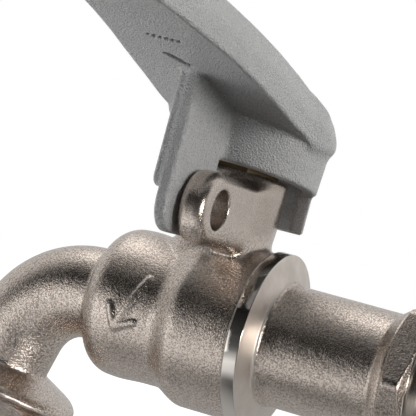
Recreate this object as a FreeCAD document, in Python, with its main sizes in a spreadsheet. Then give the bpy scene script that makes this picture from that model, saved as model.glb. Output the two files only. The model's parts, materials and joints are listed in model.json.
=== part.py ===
import FreeCAD, Part
import math
import os

import Sketcher

# Lockable garden ball valve (bibcock): inlet along +X, stem up +Z, spout to -X.
# The origin is on the pipe axis at the shoulder where the inlet thread starts.
# Rest position: valve closed, lever across the pipe towards -Y.

doc = FreeCAD.newDocument("ball_valve")
sheet = doc.addObject("Spreadsheet::Sheet", "dims")

DIMENSIONS = [
    # inlet adapter, measured from the thread shoulder
    ("inlet_thread_rad", 10.48, "G1/2 major radius"),
    ("inlet_thread_len", 15.0, "G1/2 thread length"),
    ("hex_across", 27.0, "inlet hexagon across flats"),
    ("hex_len", 5.8, "inlet hexagon length"),
    ("tube_rad", 11.7, "inlet tube radius"),
    ("collar_front", 30.5, "shoulder to the foot of the collar cone"),
    ("collar_edge", 31.8, "shoulder to the collar band's front edge"),
    ("collar_back", 34.5, "shoulder to the collar band's back edge"),
    ("collar_rad", 17.0, "collar radius"),
    ("joint_rad", 13.0, "body joint thread radius"),
    ("joint_len", 5.2, "body joint thread length"),
    ("sleeve_end", 4.2, "collar band's back edge to the adapter's inner end"),
    ("water_rad", 7.0, "water way radius in the adapter"),
    # casting
    ("stem_back", 47.0, "shoulder to the stem axis"),
    ("barrel_rad", 16.4, "large barrel radius"),
    ("waist_rad", 14.2, "small barrel radius"),
    ("barrel_left", 1.1, "stem axis to the large barrel's left end, towards the inlet"),
    ("waist_right", 6.9, "stem axis to the start of the step"),
    ("casting_left", 20.0, "stem axis to the casting's left shoulder"),
    ("cavity_rad", 11.5, "ball cavity radius"),
    ("cavity_left", 7.0, "stem axis to the left end of the ball cavity"),
    ("seat_pocket", 11.2, "stem axis to the outlet seat's back"),
    ("neck_rad", 9.2, "stem neck radius"),
    ("neck_top", 29.6, "height of the neck's top"),
    # padlock ear of the casting
    ("ear_back", 1.8, "stem axis to the ear's inner face"),
    ("ear_thick", 5.7, "ear thickness"),
    ("ear_reach", 24.2, "stem axis to the centre of the ear's round end"),
    ("ear_rad", 6.8, "radius of the ear's round end"),
    ("ear_mid", 21.1, "height of the ear's round end"),
    ("ear_round", 1.9, "edge rounding of the ear"),
    ("lock_rad", 3.75, "padlock hole radius"),
    ("lock_reach", 23.0, "stem axis to the padlock hole"),
    ("lock_high", 21.3, "height of the padlock hole"),
    # elbow and outlet
    ("spout_rad", 8.9, "spout tube radius"),
    ("spout_bore", 6.6, "spout bore radius"),
    ("bend_rad", 14.8, "spout bend centreline radius"),
    ("bend_start", 22.0, "stem axis to the start of the bend"),
    ("bend_angle", 75.0, "angle of the spout bend"),
    ("flare_start", 5.6, "bend's end to the flare"),
    ("flare_end", 8.6, "bend's end to the rim's top"),
    ("rim_rad", 17.4, "flare rim radius"),
    ("rim_end", 10.4, "bend's end to the rim's lower face"),
    ("outlet_thread_rad", 13.2, "G3/4 major radius"),
    ("outlet_end", 19.6, "bend's end to the thread's end"),
    # union
    ("nut_across", 30.0, "union nut across flats"),
    ("nut_gap", 0.3, "gap between rim and union nut"),
    ("nut_hex_len", 11.0, "union nut hexagon length"),
    ("nut_collar_rad", 14.6, "union nut collar radius"),
    ("nut_end", 26.6, "bend's end to the union nut's lower face"),
    ("gasket_thick", 2.0, "union gasket thickness"),
    ("tail_flange", 2.4, "hose tail flange thickness"),
    ("tail_rad", 6.6, "hose tail root radius"),
    ("barb_rad", 7.4, "hose tail barb crest radius"),
    ("tail_bore", 4.8, "hose tail bore radius"),
    ("tail_len", 27.0, "hose tail length below the nut"),
    # ball, seats and stem
    ("ball_rad", 10.5, "ball radius"),
    ("ball_bore", 6.0, "ball bore radius"),
    ("slot_wide", 4.2, "ball slot width"),
    ("slot_floor", 7.1, "height of the ball slot's floor"),
    ("seat_rad", 9.9, "seat outer radius"),
    ("seat_bore", 6.4, "seat bore radius"),
    ("seat_near", 6.9, "stem axis to the seat's inner face"),
    ("seat_gap", 0.03, "gap between ball and seat"),
    ("stem_rad", 4.5, "stem radius"),
    ("stem_fit", 0.06, "running clearance of the stem"),
    ("stem_foot_wide", 4.0, "stem tang thickness"),
    ("stem_foot_long", 8.6, "stem tang length"),
    ("stem_foot_low", 7.3, "height of the stem tang's end"),
    ("stem_collar_rad", 6.4, "stem collar radius"),
    ("stem_collar_low", 10.8, "height of the stem collar's underside"),
    ("stem_collar_top", 12.5, "height of the stem collar's top"),
    ("washer_thick", 0.6, "stem thrust washer thickness"),
    ("stem_square", 6.4, "stem square across flats"),
    ("stem_square_low", 33.4, "height where the stem square starts"),
    ("stem_top", 38.0, "height of the stem's top"),
    ("ring_groove_rad", 3.3, "O-ring groove radius"),
    ("ring_wide", 1.3, "O-ring groove width"),
    ("ring_low", 15.0, "height of the lower O-ring groove"),
    ("ring_high", 17.6, "height of the upper O-ring groove"),
    ("chamber_rad", 6.5, "packing chamber radius"),
    ("chamber_floor", 20.4, "height of the packing chamber's floor"),
    ("packing_top", 23.4, "height of the packing's top"),
    ("gland_top", 24.8, "height of the gland ring's top"),
    ("gland_across", 13.5, "gland nut across flats"),
    ("gland_nut_top", 32.6, "height of the gland nut's top"),
    # lever
    ("head_rad", 16.4, "lever head radius"),
    ("skirt_rad", 14.9, "lever hub skirt radius at its low side"),
    ("skirt_in", 12.3, "lever hub skirt inside radius"),
    ("skirt_low", 29.2, "height of the hub skirt's rim at the stem axis"),
    ("skirt_tilt", 0.1, "slope of the hub skirt's rim, rising towards the blade"),
    ("skirt_top", 39.6, "height where the hub skirt ends in the head"),
    ("hub_roof", 36.0, "height of the hub hollow's roof"),
    ("recess_floor", 38.2, "height of the screw recess's floor"),
    ("recess_rad", 8.1, "screw recess radius"),
    ("bevel_in", 2.0, "lever upper bevel, inwards"),
    ("bevel_down", 4.6, "lever upper bevel, downwards"),
    ("fin_face", 1.5, "stem axis to the fin's lock face"),
    ("fin_web", 2.3, "fin web thickness"),
    ("fin_rib", 4.1, "fin thickness above the rib's end"),
    ("fin_reach", 34.8, "stem axis to the fin's outer edge"),
    ("fin_inner", 12.6, "stem axis to the fin's inner edge"),
    ("fin_relief", 3.0, "set-back of the fin's inner edge below the hub skirt"),
    ("fin_low", 15.0, "height of the fin's lower edge"),
    ("fin_round", 6.0, "fin lower corner radius"),
    ("rib_low", 22.6, "height of the rib's end"),
    ("tab_rad", 14.8, "stop tab outer radius"),
    ("tab_low", 20.9, "height of the stop tab's end"),
    ("tab_from", 20.0, "angle where the stop tab's ring starts, before its face is cut"),
    ("tab_sweep", 88.0, "angle of the stop tab's ring"),
    ("tab_face", 7.9, "distance of the stop tab's face from the stem axis"),
    # lever fastening
    ("flat_washer_rad", 6.2, "lever flat washer radius"),
    ("flat_washer_thick", 1.0, "lever flat washer thickness"),
    ("spring_washer_rad", 4.6, "lever spring washer radius"),
    ("spring_washer_thick", 1.3, "lever spring washer thickness"),
    ("screw_rad", 2.5, "M5 screw radius"),
    ("screw_head_rad", 4.25, "M5 screw head radius"),
    ("screw_head_high", 2.8, "M5 screw head height"),
    ("screw_low", 29.0, "height of the screw's end"),
    ("screw_fit", 0.05, "clearance of the screw in its hole"),
    ("cap_rad", 8.0, "cap radius"),
    ("cap_top", 45.2, "height of the cap's top"),
    ("cap_low", 43.2, "height of the cap's rim underside"),
]

for row, (alias, value, note) in enumerate(DIMENSIONS, start=1):
    sheet.set(f"A{row}", note)
    sheet.set(f"B{row}", str(value))
    sheet.setAlias(f"B{row}", alias)
doc.recompute()

size = {alias: value for alias, value, note in DIMENSIONS}
d = "dims."

X_AXIS = FreeCAD.Vector(1, 0, 0)
Y_AXIS = FreeCAD.Vector(0, 1, 0)
Z_AXIS = FreeCAD.Vector(0, 0, 1)
TO_X = FreeCAD.Rotation(Y_AXIS, 90)
UPRIGHT = FreeCAD.Rotation()
STEM_X = "-dims.stem_back"


def bind(obj, expressions):
    """Tie each named property of obj to an expression over the sheet."""
    for name, expression in expressions.items():
        obj.setExpression(name, expression)
    return obj


def place(obj, rotation=UPRIGHT, x="0 mm", y="0 mm", z="0 mm"):
    """Give obj a rotation and a base point bound to the sheet."""
    obj.Placement = FreeCAD.Placement(FreeCAD.Vector(), rotation)
    for axis, expression in (("x", x), ("y", y), ("z", z)):
        if expression != "0 mm":
            obj.setExpression("Placement.Base." + axis, expression)
    return obj


def cylinder(name, radius, height, rotation=UPRIGHT, x=STEM_X, y="0 mm", z="0 mm"):
    obj = bind(doc.addObject("Part::Cylinder", name), {"Radius": radius, "Height": height})
    return place(obj, rotation, x, y, z)


def cone(name, radius1, radius2, height, rotation=UPRIGHT, x=STEM_X, y="0 mm", z="0 mm"):
    obj = doc.addObject("Part::Cone", name)
    bind(obj, {"Radius1": radius1, "Radius2": radius2, "Height": height})
    return place(obj, rotation, x, y, z)


def box(name, length, width, height, x, y, z):
    obj = bind(doc.addObject("Part::Box", name), {"Length": length, "Width": width, "Height": height})
    return place(obj, UPRIGHT, x, y, z)


def hexagon(name, across, height, rotation=UPRIGHT, x=STEM_X, y="0 mm", z="0 mm"):
    obj = doc.addObject("Part::Prism", name)
    obj.Polygon = 6
    bind(obj, {"Circumradius": f"{across} / sqrt(3)", "Height": height})
    return place(obj, rotation, x, y, z)


def fuse(name, shapes):
    obj = doc.addObject("Part::MultiFuse", name)
    obj.Shapes = shapes
    obj.Refine = True
    return obj


def cut(name, base, tool):
    obj = doc.addObject("Part::Cut", name)
    obj.Base = base
    obj.Tool = tool
    obj.Refine = True
    return obj


def common(name, shapes):
    obj = doc.addObject("Part::MultiCommon", name)
    obj.Shapes = shapes
    obj.Refine = True
    return obj


def fillet(name, base, chosen, radius):
    """Round the chosen edges of base; chosen(edge) says which."""
    doc.recompute()
    obj = doc.addObject("Part::Fillet", name)
    obj.Base = base
    edges = enumerate(base.Shape.Edges, start=1)
    obj.Edges = [(index, radius, radius) for index, edge in edges if chosen(edge)]
    return obj


def origin_plane(body, role):
    return [feature for feature in body.Origin.OriginFeatures if feature.Role == role][0]


def polygon_sketch(body, name, role, points):
    """A closed polygon on one of the body's planes, each point bound to two expressions.

    Every coordinate is a pair (starting value, expression)."""
    sketch = body.newObject("Sketcher::SketchObject", name)
    sketch.AttachmentSupport = [(origin_plane(body, role), "")]
    sketch.MapMode = "FlatFace"
    corners = [FreeCAD.Vector(first[0], second[0], 0) for first, second in points]
    for index, corner in enumerate(corners):
        following = corners[(index + 1) % len(corners)]
        sketch.addGeometry(Part.LineSegment(corner, following), False)
    for index in range(len(corners)):
        following = (index + 1) % len(corners)
        sketch.addConstraint(Sketcher.Constraint("Coincident", index, 2, following, 1))
    for index, (first, second) in enumerate(points):
        for kind, axis, (value, expression) in (("DistanceX", -2, first), ("DistanceY", -1, second)):
            if value == 0:
                sketch.addConstraint(Sketcher.Constraint("PointOnObject", index, 1, axis))
                continue
            number = sketch.addConstraint(Sketcher.Constraint(kind, -1, 1, index, 1, value))
            sketch.setExpression(f"Constraints[{number}]", expression)
    return sketch


def coordinate(*terms):
    """Add up named sizes, each optionally with a factor, as (value, expression)."""
    value = 0.0
    expression = []
    for term in terms:
        alias, factor = term if isinstance(term, tuple) else (term, 1)
        if isinstance(alias, str):
            value += size[alias] * factor
            expression.append(f"{factor} * dims.{alias}")
        else:
            value += alias * factor
            expression.append(f"{alias * factor}")
    return (value, " + ".join(expression))


def turned(label, profile, rotation=UPRIGHT, x=STEM_X, y="0 mm", z="0 mm"):
    """A solid of revolution: profile lists (radius, height) along the part's own axis."""
    body = doc.addObject("PartDesign::Body", label)
    sketch = polygon_sketch(body, label + "_profile", "XZ_Plane", profile)
    revolution = body.newObject("PartDesign::Revolution", label + "_turned")
    revolution.Profile = sketch
    revolution.ReferenceAxis = (sketch, ["V_Axis"])
    revolution.Angle = 360
    return place(body, rotation, x, y, z)


def ring(label, inner, outer, low, high, **where):
    """A plain ring between two radii and two heights, each a coordinate."""
    return turned(label, [(inner, low), (outer, low), (outer, high), (inner, high)], **where)


def padded(name, role, points, length, expression):
    """A prism on one of the body's planes, symmetric about it."""
    body = doc.addObject("PartDesign::Body", name)
    sketch = polygon_sketch(body, name + "_outline", role, points)
    pad = body.newObject("PartDesign::Pad", name + "_pad")
    pad.Profile = sketch
    pad.Length = length
    pad.setExpression("Length", expression)
    pad.Midplane = True
    return body


C = coordinate
ZERO = (0, "0")

# ---------------------------------------------------------------- outlet frame
# The outlet axis leaves the end of the bend, tilted from straight down.
bend_end_x = "-dims.stem_back - dims.bend_start - dims.bend_rad * sin(dims.bend_angle)"
bend_end_z = "-dims.bend_rad * (1 - cos(dims.bend_angle))"
TO_OUTLET = FreeCAD.Rotation(Y_AXIS, 270 - size["bend_angle"])
OUTLET = {"rotation": TO_OUTLET, "x": bend_end_x, "z": bend_end_z}


def along_outlet(name, maker, *sizes, start="0"):
    """Make a primitive whose own axis is the outlet axis, start millimetres along it."""
    angle = "dims.bend_angle"
    x = f"{bend_end_x} - ({start}) * cos({angle})"
    z = f"{bend_end_z} - ({start}) * sin({angle})"
    return maker(name, *sizes, rotation=TO_OUTLET, x=x, z=z)


def bend(name, radius):
    """A torus sector from the pipe axis round to the outlet axis."""
    torus = doc.addObject("Part::Torus", name)
    bind(torus, {"Radius1": "dims.bend_rad", "Radius2": radius, "Angle3": "dims.bend_angle"})
    rotation = FreeCAD.Rotation(Z_AXIS, -X_AXIS, -Y_AXIS, "XYZ")
    return place(torus, rotation, x="-dims.stem_back - dims.bend_start", z="-dims.bend_rad")


# ---------------------------------------------------------------- casting
# The step between the two barrels is an S-curve: fraction along, fraction of the rise.
STEP = [(0.0, 0.0), (0.17, 0.07), (0.36, 0.3), (0.6, 0.68), (0.8, 0.92), (1.0, 1.0)]

barrel_profile = [(ZERO, ZERO), (C("waist_rad"), ZERO)]
for along, rise in STEP:
    radius = C(("waist_rad", 1 - rise), ("barrel_rad", rise))
    height = C("casting_left", ("waist_right", along - 1), ("barrel_left", along))
    barrel_profile.append((radius, height))
barrel_profile += [
    (C("barrel_rad"), C("casting_left", "stem_back", ("collar_back", -1))),
    (ZERO, C("casting_left", "stem_back", ("collar_back", -1))),
]
barrel = turned("barrel", barrel_profile, TO_X, x="-dims.stem_back - dims.casting_left")


def left_shoulder(edge):
    middle = edge.BoundBox.Center
    return edge.BoundBox.XLength < 0.01 and middle.x < -size["stem_back"] - size["casting_left"] + 0.1


barrel_round = fillet("barrel_round", barrel, left_shoulder, 5.0)

neck = cylinder("neck", d + "neck_rad", d + "neck_top")

ear_low = "dims.ear_mid - dims.ear_rad"
ear_plate = box("ear_plate", d + "ear_thick", d + "ear_reach", "2 * dims.ear_rad",
                "-dims.stem_back + dims.ear_back", "-dims.ear_reach", ear_low)
ear_end = cylinder("ear_end", d + "ear_rad", d + "ear_thick", TO_X,
                   x="-dims.stem_back + dims.ear_back", y="-dims.ear_reach", z="dims.ear_mid")
ear_sharp = fuse("ear_sharp", [ear_plate, ear_end])


def ear_outline(edge):
    box_ = edge.BoundBox
    return box_.XLength < 0.01 and box_.YMin < -12 and box_.YLength > 1


ear = fillet("ear", ear_sharp, ear_outline, size["ear_round"])
ear_foot = box("ear_foot", d + "ear_thick", "dims.ear_reach - 6", "8",
               "-dims.stem_back + dims.ear_back", "-dims.ear_reach + 6", "8")
ear_foot_trim = cylinder("ear_foot_trim", "dims.barrel_rad + 1.4", "dims.ear_thick + 2", TO_X,
                         x="-dims.stem_back + dims.ear_back - 1")
ear_root = common("ear_root", [ear_foot, ear_foot_trim])

spout = bend("spout", d + "spout_rad")
spout_start = cylinder("spout_start", d + "spout_rad", "6", TO_X,
                       x="-dims.stem_back - dims.bend_start")
spout_end = along_outlet("spout_end", cylinder, d + "spout_rad", d + "flare_end")
flare = along_outlet("flare", cone, d + "spout_rad", "dims.rim_rad - 0.6",
                     "dims.flare_end - dims.flare_start", start="dims.flare_start")
rim = along_outlet("rim", cylinder, d + "rim_rad", "dims.rim_end - dims.flare_end",
                   start="dims.flare_end")
rim_soft = fillet("rim_soft", rim, lambda edge: edge.Length > 10, 0.6)
outlet_thread = along_outlet("outlet_thread", cylinder, d + "outlet_thread_rad",
                             "dims.outlet_end - dims.rim_end", start="dims.rim_end")

casting = fuse("casting", [barrel_round, neck, ear, ear_root, spout, spout_start, spout_end, flare,
                           rim_soft, outlet_thread])

cavity = cylinder("cavity", d + "cavity_rad", "dims.cavity_left + dims.stem_back - dims.collar_back + 1",
                  TO_X, x="-dims.stem_back - dims.cavity_left")
joint_hole = cylinder("joint_hole", d + "joint_rad", "dims.joint_len + 1", TO_X,
                      x="-dims.collar_back - dims.joint_len")
seat_hole = cylinder("seat_hole", "dims.seat_rad + 0.05", "dims.seat_pocket", TO_X,
                     x="-dims.stem_back - dims.seat_pocket")
spout_feed = cylinder("spout_feed", d + "spout_bore", "dims.bend_start", TO_X,
                      x="-dims.stem_back - dims.bend_start")
spout_way = bend("spout_way", d + "spout_bore")
outlet_way = along_outlet("outlet_way", cylinder, d + "spout_bore", "dims.outlet_end + 1")
outlet_cone = along_outlet("outlet_cone", cone, d + "spout_bore", "dims.outlet_thread_rad - 3.2", "4.01",
                           start="dims.outlet_end - 4")
stem_hole = cylinder("stem_hole", "dims.stem_rad + dims.stem_fit", "dims.neck_top + 1")
collar_hole = cylinder("collar_hole", "dims.stem_collar_rad + 0.15",
                       "dims.stem_collar_top + dims.washer_thick + 0.1")
chamber = cylinder("chamber", d + "chamber_rad", "dims.neck_top", z=d + "chamber_floor")
lock_hole = cylinder("lock_hole", d + "lock_rad", "dims.ear_thick + 4", TO_X,
                     x="-dims.stem_back + dims.ear_back - 2", y="-dims.lock_reach", z="dims.lock_high")
hollows = fuse("hollows", [cavity, joint_hole, seat_hole, spout_feed, spout_way, outlet_way,
                           outlet_cone, stem_hole, collar_hole, chamber, lock_hole])
valve_body = cut("valve_body", casting, hollows)

# ---------------------------------------------------------------- inlet adapter
adapter_profile = [
    (C("water_rad"), C("inlet_thread_len")),
    (C("water_rad"), C(("stem_back", -1), "seat_pocket")),
    (C("seat_rad", (0.05, 1)), C(("stem_back", -1), "seat_pocket")),
    (C("seat_rad", (0.05, 1)), C(("collar_back", -1), ("sleeve_end", -1))),
    (C("joint_rad", (-0.05, 1)), C(("collar_back", -1), ("sleeve_end", -1))),
    (C("joint_rad", (-0.05, 1)), C(("collar_back", -1))),
    (C("collar_rad"), C(("collar_back", -1))),
    (C("collar_rad"), C(("collar_edge", -1))),
    (C("tube_rad", (0.5, 1)), C(("collar_front", -1))),
    (C("tube_rad"), C(("collar_front", -1), (0.6, 1))),
    (C("tube_rad"), C(("hex_len", -1), (-2.0, 1))),
    (C("tube_rad", (0.5, 1)), C(("hex_len", -1), (-1.4, 1))),
    (C("tube_rad", (1.6, 1)), C(("hex_len", -1), (-0.3, 1))),
    (C("tube_rad", (1.6, 1)), C(("hex_len", -1), (1.0, 1))),
    (C("inlet_thread_rad"), C(("hex_len", -1), (1.0, 1))),
    (C("inlet_thread_rad"), C("inlet_thread_len", (-0.9, 1))),
    (C("inlet_thread_rad", (-0.9, 1)), C("inlet_thread_len")),
]
adapter_turned = turned("adapter_turned", adapter_profile, TO_X, x="0 mm")
hex_prism = hexagon("hex_prism", d + "hex_across", d + "hex_len",
                    FreeCAD.Rotation(X_AXIS, -26.5) * TO_X, x="-dims.hex_len")
hex_trim = turned("hex_trim", [
    (ZERO, C(("hex_len", -1), (-0.1, 1))),
    (C(("hex_across", 0.5), (0.9, 1)), C(("hex_len", -1), (-0.1, 1))),
    (C(("hex_across", 0.5), (2.6, 1)), C(("hex_len", -1), (0.9, 1))),
    (C(("hex_across", 0.5), (2.6, 1)), C((-1.5, 1))),
    (C(("hex_across", 0.5), (-0.4, 1)), C((0.01, 1))),
    (ZERO, C((0.01, 1))),
], TO_X, x="0 mm")
hex_solid = common("hex_solid", [hex_prism, hex_trim])
water_tool = cylinder("water_tool", d + "water_rad", "dims.hex_len + 2", TO_X, x="-dims.hex_len - 1")
hex_ring = cut("hex_ring", hex_solid, water_tool)
inlet_adapter = fuse("inlet_adapter", [adapter_turned, hex_ring])

# sealing ring in the corner between the casting and the adapter's end
body_seal_ring = ring("body_seal_ring", C("cavity_rad"), C("joint_rad", (-0.05, 1)),
                      C(("collar_back", -1), ("joint_len", -1)),
                      C(("collar_back", -1), ("sleeve_end", -1), (-0.02, 1)),
                      rotation=TO_X, x="0 mm")

# ---------------------------------------------------------------- ball and seats
ball_sphere = place(bind(doc.addObject("Part::Sphere", "ball_sphere"), {"Radius": d + "ball_rad"}), x=STEM_X)
ball_way = cylinder("ball_way", d + "ball_bore", "2 * dims.ball_rad + 2",
                    FreeCAD.Rotation(X_AXIS, 90), y="dims.ball_rad + 1")
ball_slot = box("ball_slot", "2 * dims.ball_rad", d + "slot_wide", d + "ball_rad",
                "-dims.stem_back - dims.ball_rad", "-dims.slot_wide / 2", d + "slot_floor")
ball_tools = fuse("ball_tools", [ball_way, ball_slot])
ball = cut("ball", ball_sphere, ball_tools)


def seat(label, side):
    """A PTFE seat ring on the inlet (side 1) or outlet (side -1) side of the ball."""
    rotation = FreeCAD.Rotation(Y_AXIS, 90 * side)
    blank = ring(label + "_blank", C("seat_bore"), C("seat_rad"), C("seat_near"),
                 C("seat_pocket", (-0.05, 1)), rotation=rotation)
    sphere = doc.addObject("Part::Sphere", label + "_sphere")
    place(bind(sphere, {"Radius": "dims.ball_rad + dims.seat_gap"}), x=STEM_X)
    return cut(label, blank, sphere)


seat_inlet = seat("seat_inlet", 1)
seat_outlet = seat("seat_outlet", -1)

# ---------------------------------------------------------------- stem
stem_profile = [
    (ZERO, C("stem_foot_low")),
    (C("stem_rad", (-0.1, 1)), C("stem_foot_low")),
    (C("stem_rad", (-0.1, 1)), C("stem_collar_low")),
    (C("stem_collar_rad"), C("stem_collar_low")),
    (C("stem_collar_rad"), C("stem_collar_top")),
    (C("stem_rad"), C("stem_collar_top")),
    (C("stem_rad"), C("ring_low")),
    (C("ring_groove_rad"), C("ring_low")),
    (C("ring_groove_rad"), C("ring_low", "ring_wide")),
    (C("stem_rad"), C("ring_low", "ring_wide")),
    (C("stem_rad"), C("ring_high")),
    (C("ring_groove_rad"), C("ring_high")),
    (C("ring_groove_rad"), C("ring_high", "ring_wide")),
    (C("stem_rad"), C("ring_high", "ring_wide")),
    (C("stem_rad"), C("stem_top")),
    (ZERO, C("stem_top")),
]
stem_turned = turned("stem_turned", stem_profile)
foot_side = "dims.stem_rad * 2 + 2"


def foot_cutter(name, side):
    y = "dims.stem_foot_wide / 2" if side > 0 else "-dims.stem_foot_wide / 2 - dims.stem_rad - 1"
    return box(name, foot_side, "dims.stem_rad + 1", "dims.stem_collar_low - dims.stem_foot_low + 1",
               "-dims.stem_back - dims.stem_rad - 1", y, "dims.stem_foot_low - 1")


square_blank = box("square_blank", "20", "20", "20", "-dims.stem_back - 10", "-10", d + "stem_square_low")
square_core = box("square_core", d + "stem_square", d + "stem_square", "20",
                  "-dims.stem_back - dims.stem_square / 2", "-dims.stem_square / 2", d + "stem_square_low")
square_cutter = cut("square_cutter", square_blank, square_core)
screw_hole = cylinder("screw_hole", "dims.screw_rad + dims.screw_fit", "20", z="dims.screw_low - 0.6")
stem_tools = fuse("stem_tools", [foot_cutter("foot_cutter_a", 1), foot_cutter("foot_cutter_b", -1),
                                 square_cutter, screw_hole])
stem = cut("stem", stem_turned, stem_tools)

stem_thrust_washer = ring("stem_thrust_washer", C("stem_rad", "stem_fit"), C("stem_collar_rad", (-0.1, 1)),
                          C("stem_collar_top", (0.02, 1)), C("stem_collar_top", "washer_thick", (0.02, 1)))
stem_o_ring_lower = ring("stem_o_ring_lower", C("ring_groove_rad"), C("stem_rad", (0.02, 1)),
                         C("ring_low"), C("ring_low", "ring_wide"))
stem_o_ring_upper = ring("stem_o_ring_upper", C("ring_groove_rad"), C("stem_rad", (0.02, 1)),
                         C("ring_high"), C("ring_high", "ring_wide"))
gland_packing = ring("gland_packing", C("stem_rad", "stem_fit"), C("chamber_rad"),
                     C("chamber_floor"), C("packing_top"))
gland_ring = ring("gland_ring", C("stem_rad", "stem_fit"), C("chamber_rad", (-0.05, 1)),
                  C("packing_top"), C("gland_top"))
gland_screw = ring("gland_screw", C("stem_rad", "stem_fit"), C("chamber_rad"),
                   C("gland_top"), C("neck_top", (0.5, 1)))
gland_hex = hexagon("gland_hex", d + "gland_across", "dims.gland_nut_top - dims.neck_top", z=d + "neck_top")
gland_trim = turned("gland_trim", [
    (ZERO, C("neck_top", (-0.1, 1))),
    (C(("gland_across", 0.5), (1.4, 1)), C("neck_top", (-0.1, 1))),
    (C(("gland_across", 0.5), (1.4, 1)), C("gland_nut_top", (-0.8, 1))),
    (C(("gland_across", 0.5), (-0.1, 1)), C("gland_nut_top", (0.01, 1))),
    (ZERO, C("gland_nut_top", (0.01, 1))),
])
gland_head = common("gland_head", [gland_hex, gland_trim])
gland_blank = fuse("gland_blank", [gland_screw, gland_head])
gland_bore = cylinder("gland_bore", "dims.stem_rad + dims.stem_fit", "dims.gland_nut_top")
gland_nut = cut("gland_nut", gland_blank, gland_bore)

# ---------------------------------------------------------------- lever
# Underside of the blade: distance from the stem axis towards the tip, and height.
UNDERSIDE = [(-18.0, 34.0), (-6.0, 37.4), (6.0, 37.9), (15.0, 39.6), (25.0, 42.0), (35.0, 44.2), (45.0, 46.3),
             (56.0, 48.2), (68.0, 50.0), (78.0, 51.2), (88.0, 52.0)]
# Heights of its top.
TOPSIDE = [(-18.0, 35.0), (-10.0, 39.4), (-5.0, 42.1), (0.0, 44.5), (7.0, 46.9), (15.0, 49.1), (25.0, 51.4),
           (35.0, 53.4), (50.0, 56.2), (60.0, 57.8), (70.0, 59.2), (80.0, 60.3), (88.0, 60.9)]
# Half widths of the blade along its length.
OUTLINE = [(14.9, 7.5), (14.2, 18.0), (13.6, 30.0), (12.9, 40.0), (11.8, 50.0), (10.7, 60.0),
           (9.8, 70.0), (9.1, 77.0), (8.0, 81.5), (6.2, 84.5), (3.4, 86.0)]


def fixed(value):
    return (value, str(value))


def height(table, along):
    """Height of the blade's underside or top at a distance from the stem axis."""
    for (a, low), (b, high) in zip(table, table[1:]):
        if a <= along <= b:
            return low + (high - low) * (along - a) / (b - a)
    raise ValueError(along)


side_points = [(fixed(-along), fixed(value)) for along, value in UNDERSIDE[:6]]
side_points += [(fixed(-along), fixed(value)) for along, value in reversed(TOPSIDE[:8])]
lever_side = padded("lever_side", "YZ_Plane", side_points, 40, "40")
head_turned = turned("head_turned", [
    (ZERO, fixed(30.0)),
    (C("head_rad"), fixed(30.0)),
    (C("head_rad"), C("skirt_top")),
    (C("head_rad", ("bevel_in", -1)), C("skirt_top", "bevel_down")),
    (C("head_rad", ("bevel_in", -1)), fixed(70.0)),
    (ZERO, fixed(70.0)),
], x="0 mm")
lever_head = common("lever_head", [lever_side, head_turned])

lever_blade = doc.addObject("PartDesign::Body", "lever_blade")
sections = []
for number, (half, along) in enumerate(OUTLINE):
    low = height(UNDERSIDE, along)
    high = height(TOPSIDE, along)
    shoulder = (high - size["bevel_down"], f"{high} - dims.bevel_down")
    top = fixed(high)
    inner = half - size["bevel_in"]
    section = polygon_sketch(lever_blade, f"blade_section_{number}", "XZ_Plane", [
        (fixed(-half), fixed(low)),
        (fixed(half), fixed(low)),
        (fixed(half), shoulder),
        ((inner, f"{half} - dims.bevel_in"), top),
        ((-inner, f"dims.bevel_in - {half}"), top),
        (fixed(-half), shoulder),
    ])
    section.AttachmentOffset = FreeCAD.Placement(FreeCAD.Vector(0, 0, along), FreeCAD.Rotation())
    sections.append(section)
blade_loft = lever_blade.newObject("PartDesign::AdditiveLoft", "blade_loft")
blade_loft.Profile = sections[0]
blade_loft.Sections = [(section, [""]) for section in sections[1:]]
blade_loft.Ruled = True

skirt_cone = cone("skirt_cone", d + "skirt_rad", "dims.head_rad - 0.1", "dims.skirt_top - dims.skirt_low + 2",
                  x="0 mm", z="dims.skirt_low - 2")
rim_trim = padded("rim_trim", "YZ_Plane", [
    (fixed(-20.0), fixed(20.0)),
    (fixed(20.0), fixed(20.0)),
    (fixed(20.0), C("skirt_low", ("skirt_tilt", -20))),
    (fixed(-20.0), C("skirt_low", ("skirt_tilt", 20))),
], 40, "40")
skirt = cut("skirt", skirt_cone, rim_trim)
fin_high = 44.5
fin_web = padded("fin_web", "YZ_Plane", [
    (C(("fin_reach", -1)), fixed(fin_high)),
    (C(("fin_reach", -1)), C("fin_low", "fin_round")),
    (C(("fin_reach", -1), ("fin_round", 0.29)), C("fin_low", ("fin_round", 0.29))),
    (C(("fin_reach", -1), "fin_round"), C("fin_low")),
    (C(("fin_inner", -1), ("fin_relief", -1)), C("fin_low")),
    (C(("fin_inner", -1), ("fin_relief", -1)), fixed(30.2)),
    (C(("fin_inner", -1)), fixed(31.4)),
    (C(("fin_inner", -1)), fixed(38.0)),
    (fixed(-26.0), fixed(42.6)),
], size["fin_web"], d + "fin_web")
place(fin_web, x="dims.fin_face - dims.fin_web / 2")
fin_rib = padded("fin_rib", "YZ_Plane", [
    (C(("fin_reach", -1), (0.5, 1)), fixed(fin_high)),
    (C(("fin_reach", -1), (0.5, 1)), C("rib_low", (2.0, 1))),
    (C(("fin_reach", -1), (2.5, 1)), C("rib_low")),
    (C(("fin_inner", -1), ("fin_relief", -1)), C("rib_low")),
    (C(("fin_inner", -1), ("fin_relief", -1)), fixed(30.2)),
    (C(("fin_inner", -1)), fixed(31.4)),
    (C(("fin_inner", -1)), fixed(38.0)),
    (fixed(-26.0), fixed(42.6)),
], size["fin_rib"], d + "fin_rib")
place(fin_rib, x="dims.fin_face - dims.fin_rib / 2")

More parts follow.
